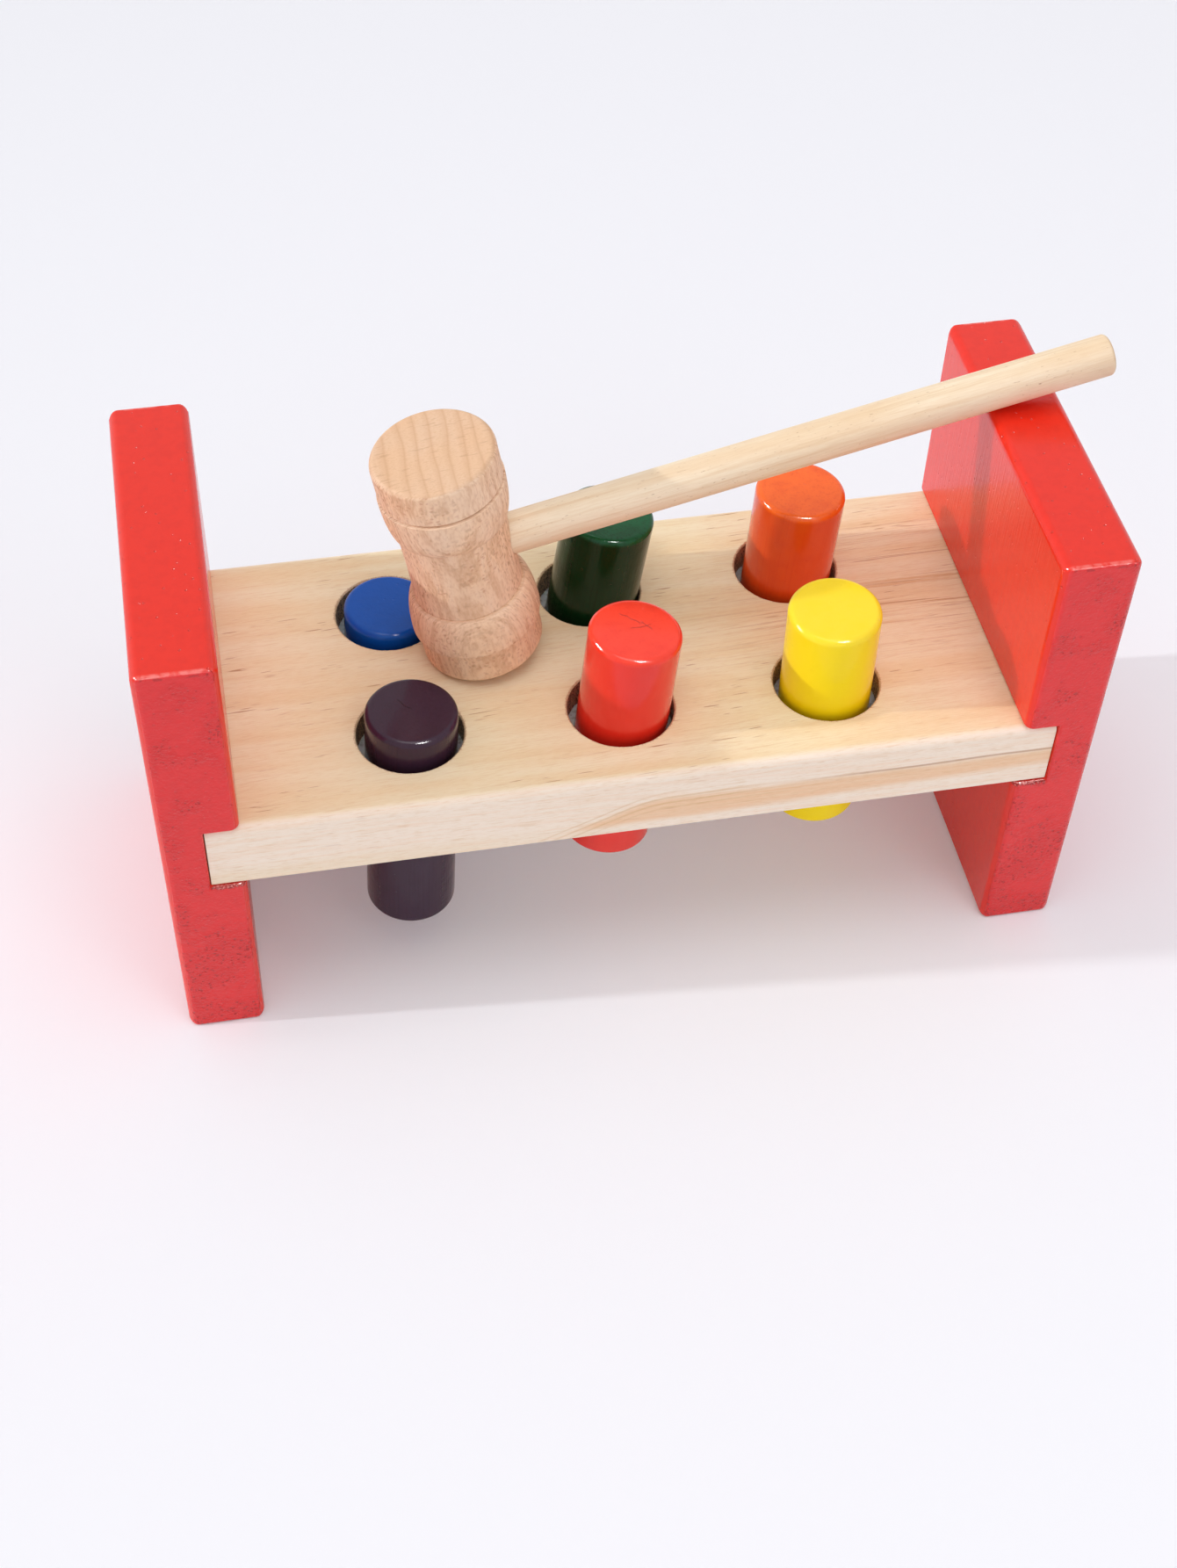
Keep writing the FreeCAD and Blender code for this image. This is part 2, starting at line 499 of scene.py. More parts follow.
@dataclass(frozen=True)
class Place:
    """Coordinates on a surface, in millimetres."""

    graph: "Graph"
    socket: bpy.types.NodeSocket

    def split(self) -> tuple[Level, ...]:
        """Take the coordinates apart.

        Returns:
            The X, the Y and the Z.
        """
        node = self.graph.node("SeparateXYZ")
        self.graph.feed(node.inputs[0], self)
        return tuple(Level(self.graph, output) for output in node.outputs)

    def stretch(self, x: float, y: float, z: float) -> "Place":
        """Multiply the coordinates axis by axis.

        Args:
            x: The factor along X.
            y: The factor along Y.
            z: The factor along Z.

        Returns:
            The new coordinates.
        """
        node = self.graph.node("VectorMath", operation="MULTIPLY")
        self.graph.feed(node.inputs[0], self)
        node.inputs[1].default_value = (x, y, z)
        return Place(self.graph, node.outputs[0])

    def facing(self, x: float, y: float, heading: float) -> "Place":
        """Coordinates that start at a point and run along a heading in the X-Y plane.

        Args:
            x: The point's x.
            y: The point's y.
            heading: The heading, in degrees from X.

        Returns:
            The new coordinates.
        """
        node = self.graph.node("Mapping", vector_type="TEXTURE")
        node.inputs["Location"].default_value = (x, y, 0)
        node.inputs["Rotation"].default_value = (0, 0, math.radians(heading))
        self.graph.feed(node.inputs["Vector"], self)
        return Place(self.graph, node.outputs[0])

    def warp(self, scale: float, amount: float) -> "Place":
        """Shift the coordinates by a slow noise.

        Args:
            scale: The noise's scale.
            amount: Twice the most that they shift each way, about a steady shift of half of it.

        Returns:
            The new coordinates.
        """
        noise = self.graph.node("TexNoise")
        self.graph.feed(noise.inputs["Vector"], self)
        noise.inputs["Scale"].default_value = scale
        noise.inputs["Detail"].default_value = 1.0
        shifted = self.graph.node("VectorMath", operation="MULTIPLY_ADD")
        self.graph.tree.links.new(noise.outputs["Color"], shifted.inputs[0])
        shifted.inputs[1].default_value = (amount,) * 3
        self.graph.feed(shifted.inputs[2], self)
        return Place(self.graph, shifted.outputs[0])

    def noise(self, scale: float, detail: float) -> Level:
        """A soft noise from 0 to 1.

        Args:
            scale: The noise's scale.
            detail: How many finer noises it adds.

        Returns:
            The noise.
        """
        node = self.graph.node("TexNoise")
        self.graph.feed(node.inputs["Vector"], self)
        node.inputs["Scale"].default_value = scale
        node.inputs["Detail"].default_value = detail
        return Level(self.graph, node.outputs["Fac"])

    def streaks(self, x: float, y: float, z: float, detail: float = 3) -> Level:
        """A noise drawn out along an axis: the smaller the factor, the longer."""
        return self.stretch(x, y, z).noise(1.0, detail)

    def cells(self, scale: float) -> Level:
        """The distance to the nearest of scattered points.

        Args:
            scale: How closely they lie.

        Returns:
            The distance.
        """
        node = self.graph.node("TexVoronoi")
        self.graph.feed(node.inputs["Vector"], self)
        node.inputs["Scale"].default_value = scale
        return Level(self.graph, node.outputs["Distance"])


class Graph:
    """A material's nodes, added call by call."""

    def __init__(self, name: str) -> None:
        """Start an empty material.

        Args:
            name: Its name.
        """
        self.material = bpy.data.materials.new(name)
        self.material.use_nodes = True
        self.tree = self.material.node_tree
        self.tree.nodes.clear()

    def node(self, kind: str, **settings: object) -> bpy.types.Node:
        """Add a shader node.

        Args:
            kind: Blender's name for it, without ShaderNode.
            settings: Its settings.

        Returns:
            The node.
        """
        node = self.tree.nodes.new(f"ShaderNode{kind}")
        for name, value in settings.items():
            setattr(node, name, value)
        return node

    def feed(self, socket: bpy.types.NodeSocket, value: "Level | Place | Colour | float") -> None:
        """Link a socket, or set its own value.

        Args:
            socket: The socket.
            value: What it is linked or set to.
        """
        if isinstance(value, (Level, Place)):
            self.tree.links.new(value.socket, socket)
        elif isinstance(value, tuple) and socket.type == "RGBA":
            socket.default_value = (*value, 1.0)
        else:
            socket.default_value = value

    def millimetres(self, centre: Vector, along: Vector = Z_AXIS) -> Place:
        """Object coordinates in millimetres, from a centre, with Z turned along an axis.

        Args:
            centre: Where the new coordinates start.
            along: The direction of the new Z; the new Y stays as near to the old one as it can.

        Returns:
            The coordinates.
        """
        beside = Y_AXIS.cross(along).normalized()
        turned = Matrix((beside, along.cross(beside), along))
        mapping = self.node("Mapping")
        mapping.inputs["Rotation"].default_value = turned.to_euler()
        mapping.inputs["Scale"].default_value = (PER_MM,) * 3
        mapping.inputs["Location"].default_value = -(turned @ centre) * PER_MM
        self.tree.links.new(self.node("TexCoord").outputs["Object"], mapping.inputs["Vector"])
        return Place(self, mapping.outputs["Vector"])

    def math(self, operation: str, *values: Level | float) -> Level:
        """One Math node.

        Args:
            operation: What it does.
            values: The levels or numbers that it works on.

        Returns:
            The result.
        """
        node = self.node("Math", operation=operation)
        for socket, value in zip(node.inputs, values):
            self.feed(socket, value)
        return Level(self, node.outputs[0])

    def layers(self, base: Level | Colour, *coats: tuple[Level | float, Level | Colour]) -> Level:
        """Lay tints over a colour, one after another.

        Args:
            base: The colour at the bottom.
            coats: The share and the tint of each coat.

        Returns:
            The colour at the top.
        """
        for share, tint in coats:
            node = self.node("Mix", data_type="RGBA")
            for number, value in ((0, share), (6, base), (7, tint)):
                self.feed(node.inputs[number], value)
            base = Level(self, node.outputs[2])
        return base

    def relief(self, *heights: tuple[Level, float, Depth]) -> Level:
        """Relief from heights that lie on one another.

        Args:
            heights: Each height from 0 to 1, how much 1 is in millimetres, and its direction.

        Returns:
            The normal.
        """
        under = None
        for height, distance, depth in heights:
            node = self.node("Bump", invert=depth.value)
            node.inputs["Distance"].default_value = distance * MM
            self.feed(node.inputs["Height"], height)
            if under is not None:
                self.feed(node.inputs["Normal"], under)
            under = Level(self, node.outputs[0])
        return under

    def gloss(
        self, colour: Level, roughness: Level | float, normal: Level | None, **constants: float
    ) -> bpy.types.NodeSocket:
        """Shade a surface.

        Args:
            colour: The base colour.
            roughness: The roughness.
            normal: The relief, if there is any.
            constants: Values for the shader's other sockets, with _ for a space.

        Returns:
            The shader's output.
        """
        shader = self.node("BsdfPrincipled")
        self.feed(shader.inputs["Base Color"], colour)
        self.feed(shader.inputs["Roughness"], roughness)
        if normal is not None:
            self.feed(shader.inputs["Normal"], normal)
        for name, value in constants.items():
            shader.inputs[name.replace("_", " ")].default_value = value
        return shader.outputs[0]

    def close(self, surface: bpy.types.NodeSocket) -> bpy.types.Material:
        """Make a shader the material's surface.

        Args:
            surface: The shader's output.

        Returns:
            The finished material.
        """
        self.tree.links.new(surface, self.node("OutputMaterial").inputs[0])
        return self.material


# --------------------------------------------------------------------------------------------
# Finishes
# --------------------------------------------------------------------------------------------


@dataclass(frozen=True)
class PanelPaint:
    """Brushed gloss red on the end panels: smooth broad faces, dull pitted edges, worn corners,
    and a painted highlight along the top edges.
    """

    face: Colour = shown(233, 38, 16)
    edge: Colour = shown(235, 42, 44)
    deep: Colour = shown(178, 12, 12)
    chip: Colour = shown(226, 128, 122)
    # The pale pink of a painted highlight laid along the top edges.
    painted_edge_highlight: Colour = shown(250, 132, 124)
    nick: Colour = shown(70, 10, 12)
    face_roughness: float = 0.2
    edge_roughness: float = 0.36
    specular: float = 0.36
    coat: float = 0.16
    coat_roughness: float = 0.1

    def worn_slot(self, place: Place, slot: Vector) -> Level:
        """The mask of the chipped paint along the lower lip of the dado's mouth.

        Args:
            place: The panel's coordinates.
            slot: The x of the dado's floor, the way that the dado opens, and its lip's height.

        Returns:
            The mask.
        """
        x, _, z = place.split()
        below = slot.z - z
        tall = (below - place.streaks(1.3, 1.0, 1.3) * 2.4).band(-0.4, -0.9)
        mouth = ((x - slot.x) * slot.y).band(-0.2, 0.3)
        return tall * mouth * below.band(-0.1, 0.1)

    def material(self, low: Vector, high: Vector, slot: Vector) -> bpy.types.Material:
        """Mix the paint for one panel.

        Args:
            low: The panel's lowest corner.
            high: The panel's highest corner.
            slot: The x of the dado's floor, the way that the dado opens, and its lip's height.

        Returns:
            The material.
        """
        graph = Graph("panel_red_paint")
        centre = (low + high) / 2
        half = (high - low) / 2 * PER_MM
        floor, opening = (slot.x - centre.x) * PER_MM, slot.y
        place = graph.millimetres(centre)
        x, y, z = place.split()
        thin_face = abs(y).band(half.y - 0.5, half.y - 0.15)
        broad_face = abs(x).band(half.x - 0.5, half.x - 0.15)
        mottle = place.noise(0.1, 4)
        crowd = (mottle + z.band(20.0, -45.0) * 0.09).band(0.49, 0.6)
        pits = place.warp(0.9, 0.8).cells(0.85).band(0.32, 0.14) * crowd * thin_face
        loose_pits = place.cells(0.4).band(0.13, 0.05) * 0.8
        flecks = place.cells(0.5).band(0.1, 0.05) * thin_face
        worn = self.worn_slot(place, Vector((floor, opening, (slot.z - centre.z) * PER_MM)))
        pale_worn = worn * place.noise(2.0, 2).band(0.5, 0.58)
        drip = place.streaks(0.42, 0.2, 0.9)
        rim = abs(y).band(half.y - 0.35, half.y - 0.02) * z.band(half.z - 1.5, half.z - 0.9)
        # Painted highlight: a broken pale pink line along the rounded edges where the top meets
        # the front and back faces.
        painted_edge_highlight = abs(y).band(half.y - 1.3, half.y - 0.7) * z.band(half.z - 0.6, half.z - 0.3)
        back_corner = y.band(half.y - 1.4, half.y - 0.7)
        inner_corner = (x * opening).band(half.x - 1.7, half.x - 0.9)
        nick = z.near(half.z - 3.4, 1.3, 0.6) * back_corner * inner_corner * float(opening < 0)
        colour = graph.layers(
            self.face,
            (thin_face, self.edge),
            (place.noise(0.45, 3).band(0.35, 0.75) * 0.12, self.deep),
            (mottle.band(0.42, 0.66) * thin_face * 0.1, self.deep),
            (pits * 0.45, self.deep),
            (flecks * 0.25, self.chip),
            (worn * 0.55, self.nick),
            (pale_worn * 0.9, self.chip),
            (rim * drip.band(0.52, 0.62) * 0.35, self.nick),
            # The painted highlight on the top edges, broken up by noise.
            (painted_edge_highlight * drip.band(0.36, 0.6) * 0.6, self.painted_edge_highlight),
            (nick * 0.9, self.nick),
        )
        brushed = place.streaks(1.8, 1.8, 0.07) * broad_face
        normal = graph.relief(
            (place.noise(0.9, 3) * 0.8 + brushed * 1.8, 0.06, Depth.RAISED),
            (place.noise(1.3, 3) * thin_face * (crowd * 0.6 + 0.4), 0.5, Depth.RAISED),
            (pits.most(loose_pits), 0.26, Depth.SUNK),
            (worn.most(nick), 0.25, Depth.SUNK),
        )
        surface = graph.gloss(
            colour,
            graph.layers((self.face_roughness,) * 3, (thin_face, (self.edge_roughness,) * 3)),
            normal,
            Specular_IOR_Level=self.specular,
            Coat_Weight=self.coat,
            Coat_Roughness=self.coat_roughness,
        )
        return graph.close(surface)


@dataclass(frozen=True)
class PegPaint:
    """Dipped gloss paint on a peg, with the grain just showing and small dents from the hammer; on
    some pegs the sides are painted darker than the top as painted shade.
    """

    name: str
    colour: Colour
    # deep is the paint's darker tone, and on pegs with side shade also the colour of their painted
    # shade.
    deep: Colour
    grain: float
    specular: float
    # How far the sides are painted towards the deep colour, as painted shade.
    side_shade: float = 0.0
    specks: float = 0.0
    checks: tuple[tuple[float, float, float, float], ...] = ()
    coat: float = 0.3
    coat_roughness: float = 0.1

    @property
    def crack(self) -> Colour:
        """The paint's colour in the shade of a crack."""
        red, green, blue = self.deep
        return red / 2, green / 2, blue / 2

    def check_mark(self, place: Place, mark: tuple[float, float, float, float]) -> Level:
        """The mask of one fine split on the top face.

        Args:
            place: The peg's own coordinates.
            mark: The split's middle x and y, its half length and its heading in degrees.

        Returns:
            The mask.
        """
        x, y, half_length, heading = mark
        along, across, _ = place.warp(0.35, 1.6).facing(x, y, heading).split()
        return abs(along).band(half_length, half_length - 1.2) * abs(across).band(0.16, 0.04)

    def material(self, centre: Vector, axis: Vector, half_length: float) -> bpy.types.Material:
        """Mix the paint for one peg.

        Args:
            centre: The peg's middle.
            axis: The direction up along the peg.
            half_length: Half the peg's length.

        Returns:
            The material.
        """
        graph = Graph(f"peg_{self.name}_paint")
        place = graph.millimetres(centre, axis)
        _, _, height = place.split()
        half = half_length * PER_MM
        top = height.band(half - 0.5, half - 0.15)
        streaks = place.streaks(1.5, 1.5, 0.05)
        clouds = place.noise(0.22, 3)
        splits = [self.check_mark(place, mark) * top for mark in self.checks]
        colour = graph.layers(
            self.colour,
            (clouds.band(0.4, 0.75) * 0.25, self.deep),
            # Painted shade: the sides darker than the top.
            (height.band(half - 0.6, half - 2.0) * self.side_shade, self.deep),
            (streaks.band(0.5, 0.7) * (self.grain * 5), self.deep),
            *((split * 0.35, self.crack) for split in splits),
            (place.cells(0.55).band(0.1, 0.05) * self.specks, self.deep),
        )
        normal = graph.relief(
            (streaks, self.grain, Depth.RAISED),
            (place.noise(0.3, 2), 0.1, Depth.RAISED),
            (place.noise(1.8, 3), 0.02, Depth.RAISED),
            (place.cells(0.32).band(0.14, 0.05), 0.06, Depth.SUNK),
            *((split, 0.25, Depth.SUNK) for split in splits),
        )
        surface = graph.gloss(
            colour,
            clouds * 0.12 + 0.1,
            normal,
            Specular_IOR_Level=self.specular,
            Coat_Weight=self.coat,
            Coat_Roughness=self.coat_roughness,
        )
        return graph.close(surface)


@dataclass(frozen=True)
class Pine:
    """Planed pine: faint long bands, a browner streak that is partly grain and partly painted
    shade, resin dashes, and fuzzy bores, darker inside.
    """

    pale: Colour = shown(246, 231, 197)
    warm: Colour = shown(242, 219, 178)
    late: Colour = shown(222, 181, 128)
    dash: Colour = shown(182, 124, 82)
    sap: Colour = shown(254, 238, 221)
    heart: Colour = shown(246, 203, 163)
    # The near-black of the walls inside the bores.
    bore_dark: Colour = shown(50, 30, 18)
    grain_slant: float = 3.5
    specular: float = 0.15

    def top(self, place: Place) -> Level:
        """The colour of the board's two broad faces.

        Args:
            place: The deck's coordinates.

        Returns:
            The colour.
        """
        x, _, _ = place.split()
        bent = place.stretch(0.25, 1, 1).warp(0.03, 7.0)
        slanted = bent.split()[1] - x * 0.035
        narrow = bent.streaks(0.06, 0.6, 0.6)
        toward_right = x.band(5.0, 70.0)
        # A browner streak towards the right: partly grain, and partly painted shade where the
        # hammer head's shadow falls across the deck.
        brown_streak_and_shade = slanted.near(4.0, 17.0, 3.0) * toward_right
        contour = (bent.streaks(0.016, 0.24, 0.24) * 10.0).math("PINGPONG", 0.5).band(0.09, 0.03)
        drawn = contour * narrow.band(0.36, 0.56) * toward_right
        threads = bent.streaks(0.09, 1.7, 1.7).band(0.56, 0.72)
        return place.graph.layers(
            self.pale,
            (bent.streaks(0.05, 0.13, 0.13, 2).band(0.36, 0.64), self.warm),
            (narrow.band(0.46, 0.68) * (toward_right * 0.06 + 0.1), self.late),
            # The browner streak: partly grain, partly painted shade.
            (brown_streak_and_shade * (narrow.band(0.52, 0.7) * 0.75 + 0.14), self.late),
            (drawn * slanted.near(10.0, 34.0, 12.0) * 0.6, self.dash),
            (threads * (toward_right * 0.12 + 0.16), self.late),
        )

    def edge(self, place: Place) -> Level:
        """The colour of the board's long edges, where one brown year runs out of the sapwood.

        Args:
            place: The deck's coordinates.

        Returns:
            The colour.
        """
        x, _, z = place.split()
        _, _, wavy_z = place.stretch(0.4, 1, 1).warp(0.06, 1.6).split()
        under = (x * 0.42 + 1.4).math("SMOOTH_MIN", 2.4, 4.0) - wavy_z
        over = wavy_z - (x * 0.03 - 5.4)
        year = under.band(-0.6, 2.0) * over.band(-1.4, 1.6)
        nested = ((under + x * 0.03) * 3.6).math("SINE").band(0.1, 1.0)
        left_end = x.band(-34.0, -14.0) * x.band(44.0, 16.0) * under.band(-2.4, -0.6)
        core = year * under.band(3.2, 0.3) * x.band(-10.0, 40.0)
        line = abs(under).band(0.5, 0.1) * x.band(30.0, 66.0)
        fine = place.streaks(0.05, 1.0, 1.3)
        return place.graph.layers(
            self.sap,
            (fine.band(0.42, 0.7) * 0.25, self.heart),
            (year * (fine * 0.5 + 0.62), self.heart),
            (core * fine.band(0.3, 0.62) * 0.3, self.late),
            (nested * left_end * under.band(6.0, 2.0) * 0.45, self.late),
            (z.band(-2.0, -8.0) * x.band(10.0, -60.0) * 0.35, self.warm),
            (line * 0.6, self.dash),
        )

    def material(self, low: Vector, high: Vector, bores: "Bores") -> bpy.types.Material:
        """Grow the wood for the deck.

        Args:
            low: The deck's lowest corner.
            high: The deck's highest corner.
            bores: The deck's holes.

        Returns:
            The material.
        """
        graph = Graph("deck_pine")
        centre = (low + high) / 2
        half = (high - low) / 2 * PER_MM
        place = graph.millimetres(centre)
        _, y, _ = place.split()
        on_edge = abs(y).band(half.y - 2.2, half.y - 0.5)
        grain = place.facing(0, 0, self.grain_slant)
        fibres = grain.streaks(0.45, 4.2, 4.2)
        sparse = grain.streaks(0.03, 0.11, 0.11, 2).band(0.46, 0.6)
        short = grain.streaks(0.13, 2.1, 2.1, 1).band(0.675, 0.74)
        dashes = short * sparse * (1.0 - on_edge * 0.75)
        away = bores.distance(place, centre)
        fuzz = (place.noise(2.6, 3) - 0.5) * 1.6
        wall = (away + fuzz * 0.35).band(0.12, -0.1)
        colour = graph.layers(
            self.top(place),
            (on_edge, self.edge(place)),
            (fibres.band(0.5, 0.72) * 0.22, self.late),
            (fibres.band(0.5, 0.28) * 0.16, self.sap),
            (grain.streaks(0.16, 2.3, 2.3).band(0.56, 0.7) * 0.26, self.late),
            (dashes * 0.72, self.dash),
            ((away + fuzz).band(0.75, 0.1) * 0.55, self.dash),
            # The walls inside the bores are painted nearly black.
            (wall * 0.93, self.bore_dark),
        )
        normal = graph.relief(
            (fibres, 0.05, Depth.RAISED),
            (dashes, 0.06, Depth.SUNK),
            (wall * place.noise(3.4, 4), 0.5, Depth.RAISED),
        )
        rough = fibres * 0.14 + 0.56
        return graph.close(graph.gloss(colour, rough, normal, Specular_IOR_Level=self.specular))


@dataclass(frozen=True)
class Beech:
    """Turned beech: soft year bands across it, and ray flecks that lie in sheets along them, with
    painted shade in its grooves and on its lower part.
    """

    pale: Colour = shown(245, 215, 187)
    pink: Colour = shown(246, 208, 172)
    gold: Colour = shown(242, 209, 170)
    late: Colour = shown(210, 164, 127)
    # The colour of the ray flecks and end streaks, and also of the painted shade in the grooves.
    fleck_and_groove_shade: Colour = shown(172, 120, 88)
    ray: Colour = shown(196, 130, 104)
    ring_gap: float = 3.5
    year_curve: tuple[tuple[float, float], ...] = (
        (0.0, 0.5),
        (0.12, 0.1),
        (0.5, 0.0),
        (0.84, 0.55),
        (0.93, 1.0),
        (1.0, 0.6),
    )
    # Painted shade in the grooves and at the shoulder steps: the height, half width and strength
    # of each dark band.
    groove_shades: tuple[tuple[float, float, float], ...] = (
        (21.2, 0.7, 0.12),
        (10.6, 0.4, 0.36),
        (-10.7, 0.35, 0.22),
        (-21.2, 0.9, 0.2),
    )
    specular: float = 0.15

    def year(self, place: Place) -> Level:
        """The mask of the dark wood that closes each year.

        Args:
            place: The head's coordinates.

        Returns:
            The mask.
        """
        wobble = place.streaks(0.16, 0.03, 0.02, 1) * 3.4
        across = place.warp(0.06, 2.0).split()[0] + wobble
        share = (across.math("DIVIDE", self.ring_gap) + 20.1).math("FRACT")
        return share.ramp(*self.year_curve)

    def material(self, centre: Vector, axis: Vector, half_length: float) -> bpy.types.Material:
        """Grow the wood for the hammer's head.

        Args:
            centre: The head's middle.
            axis: The direction up along the head.
            half_length: Half the head's length.

        Returns:
            The material.
        """
        graph = Graph("head_beech")
        place = graph.millimetres(centre, axis)
        _, depth, height = place.split()
        half = half_length * PER_MM
        end = abs(height).band(half - 0.7, half - 0.3)
        side = 1.0 - end
        front = abs(depth).band(6.0, 10.5)
        clouds = place.noise(0.07, 2)
        flakes = place.warp(0.7, 0.8).stretch(0.3, 2.8, 0.5).cells(1.0).band(0.44, 0.14)
        flecks = flakes * place.noise(0.13, 2).band(0.32, 0.5)
        spots = place.warp(0.5, 1.2).stretch(0.62, 0.1, 0.95).cells(1.0).band(0.34, 0.16)
        rays = spots * front * clouds.band(0.42, 0.56)
        sheets = place.warp(0.12, 1.6).streaks(0.06, 1.3, 0.1)
        fine = place.streaks(1.6, 3.4, 0.7)
        colour = graph.layers(
            self.pale,
            (clouds.band(0.35, 0.7), self.pink),
            # Painted shade: the lower part of the head tinted pinker, where the left panel's
            # shadow falls on it.
            (height.band(20.0, -16.0) * side * 0.5, self.pink),
            (place.streaks(0.12, 0.02, 0.02, 2).band(0.48, 0.62) * end * 0.3, self.gold),
            (end * 0.46, self.late),
            (self.year(place) * (end * 0.5 + 0.16), self.late),
            (sheets.band(0.46, 0.62) * side * 0.46, self.late),
            (sheets.band(0.47, 0.34) * side * 0.5, self.pale),
            (fine.band(0.46, 0.7) * 0.34, self.late),
            (fine.band(0.5, 0.3) * side * 0.3, self.pale),
            (flecks * side * (0.8 - front * 0.5), self.fleck_and_groove_shade),
            (rays * side * 0.4, self.ray),
            (end * place.streaks(0.22, 1.5, 0.4, 1).band(0.62, 0.7) * 0.22, self.fleck_and_groove_shade),
            # Painted shade: dark bands at the grooves and shoulder steps.
            *(
                (height.near(level, width, width / 4) * strength, self.fleck_and_groove_shade)
                for level, width, strength in self.groove_shades
            ),
        )
        normal = graph.relief((fine, 0.05, Depth.RAISED), (flecks * side, 0.02, Depth.SUNK))
        rough = fine * 0.14 + 0.5
        return graph.close(graph.gloss(colour, rough, normal, Specular_IOR_Level=self.specular))


@dataclass(frozen=True)
class Birch:
    """A sanded birch dowel: pale, straight and fine, with short pores and a few darker threads."""

    pale: Colour = shown(246, 228, 201)
    warm: Colour = shown(239, 212, 178)
    thread: Colour = shown(222, 184, 138)
    pore: Colour = shown(170, 122, 82)
    cut: Colour = shown(212, 172, 134)
    specular: float = 0.18

    def material(self, start: Vector, axis: Vector, length: float) -> bpy.types.Material:
        """Grow the wood for the handle.

        Args:
            start: The centre of the handle's end in the head.
            axis: The direction along the handle.
            length: The handle's length.

        Returns:
            The material.
        """
        graph = Graph("handle_birch")
        place = graph.millimetres(start, axis)
        _, _, height = place.split()
        cut_end = height.band(length * PER_MM - 0.6, length * PER_MM - 0.2)
        fibres = place.streaks(3.4, 3.4, 0.22)
        pores = place.streaks(4.2, 4.2, 0.7, 1).band(0.72, 0.78) * 0.5
        pits = pores.most(place.cells(1.1).band(0.22, 0.1) * cut_end)
        colour = graph.layers(
            self.pale,
            (place.streaks(0.16, 0.16, 0.02, 2).band(0.35, 0.68), self.warm),
            (place.streaks(0.9, 0.9, 0.018).band(0.5, 0.68) * 0.34, self.thread),
            (fibres.band(0.35, 0.68) * 0.2, self.thread),
            (pits, self.pore),
            (cut_end * 0.85, self.cut),
        )
        normal = graph.relief((fibres, 0.06, Depth.RAISED), (pits, 0.1, Depth.SUNK))
        rough = fibres * 0.14 + 0.52
        return graph.close(graph.gloss(colour, rough, normal, Specular_IOR_Level=self.specular))


@dataclass(frozen=True)
class SoftRubber:
    """A pale, slightly see-through rubber with a dusty skin."""

    colour: Colour = shown(198, 198, 196)
    dust: Colour = shown(150, 144, 138)
    scatter: float = 0.3
    scatter_reach: float = 2 * MM

    def material(self) -> bpy.types.Material:
        """Mix the rubber.

        Returns:
            The material.
        """
        graph = Graph("ring_rubber")
        place = graph.millimetres(ORIGIN)
        skin = place.noise(0.9, 4)
        surface = graph.gloss(
            graph.layers(self.colour, (skin.band(0.45, 0.75), self.dust)),
            skin * 0.2 + 0.38,
            graph.relief((place.noise(2.5, 2), 0.04, Depth.RAISED)),
            Subsurface_Weight=self.scatter,
            Subsurface_Scale=self.scatter_reach,
        )
        return graph.close(surface)


@dataclass(frozen=True)
class PaperFloor:
    """A plain pale floor, a little lilac."""

    colour: Colour = shown(245, 246, 252)
    cloud: Colour = shown(240, 240, 246)
    roughness: float = 0.75
    specular: float = 0.2
    lift: float = 0.12

    def material(self) -> bpy.types.Material:
        """Mix the floor's finish.

        Returns:
            The material.
        """
        graph = Graph("floor_white")
        clouds = graph.millimetres(ORIGIN).noise(0.004, 2) * 0.05
        colour = graph.layers(self.colour, (clouds, self.cloud))
        paper = graph.gloss(colour, self.roughness, None, Specular_IOR_Level=self.specular)
        glow = graph.node("Emission")
        graph.feed(glow.inputs["Color"], self.colour)
        seen = Level(graph, graph.node("LightPath").outputs["Is Camera Ray"])
        blend = graph.node("MixShader")
        graph.feed(blend.inputs[0], seen * self.lift)
        graph.tree.links.new(paper, blend.inputs[1])
        graph.tree.links.new(glow.outputs[0], blend.inputs[2])
        return graph.close(blend.outputs[0])


# --------------------------------------------------------------------------------------------
# The bench
# --------------------------------------------------------------------------------------------


@dataclass
class EndPanel:
    """A painted board at one end of the bench, with a dado for the deck."""

    side: Side
    edge_radius: float = 2.2 * MM
    dado_depth: float = 8.3 * MM
    dado_clearance: float = 0.04 * MM
    paint_round: float = 0.8 * MM
    cutter_spare: float = 5 * MM
    paint: PanelPaint = field(default_factory=PanelPaint)

    def build(self) -> list[bpy.types.Object]:
        """Model the board, ease it, cut its dado and paint it.

        Returns:
            The board.
        """
        node = f"{self.side.name.lower()}_end_panel"
        low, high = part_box(node)
        deck_low, deck_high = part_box("bench_deck")
        board = block(f"{node}_board", low, high)
        with edit_mode(board):
            pick_edges(board, lambda edge: not runs_along(edge, X_AXIS))
            round_edges(self.edge_radius, segments=7)
        inner = low.x if self.side is Side.RIGHT else high.x
        floor = inner + self.side.value * self.dado_depth
        mouth = inner - self.side.value * self.cutter_spare
        under = deck_low.z - self.dado_clearance
        over = deck_high.z + self.dado_clearance
        lowest = Vector((min(floor, mouth), low.y - self.cutter_spare, under))
        highest = Vector((max(floor, mouth), high.y + self.cutter_spare, over))
        carve(board, block("dado_cutter", lowest, highest))
        with edit_mode(board):
            pick_sharp(SOFT_TURN)
            round_edges(self.paint_round, segments=4, clamp=True)
        paint = self.paint.material(low, high, Vector((floor, -self.side.value, under)))
        return [finish_piece(board, paint, node)]


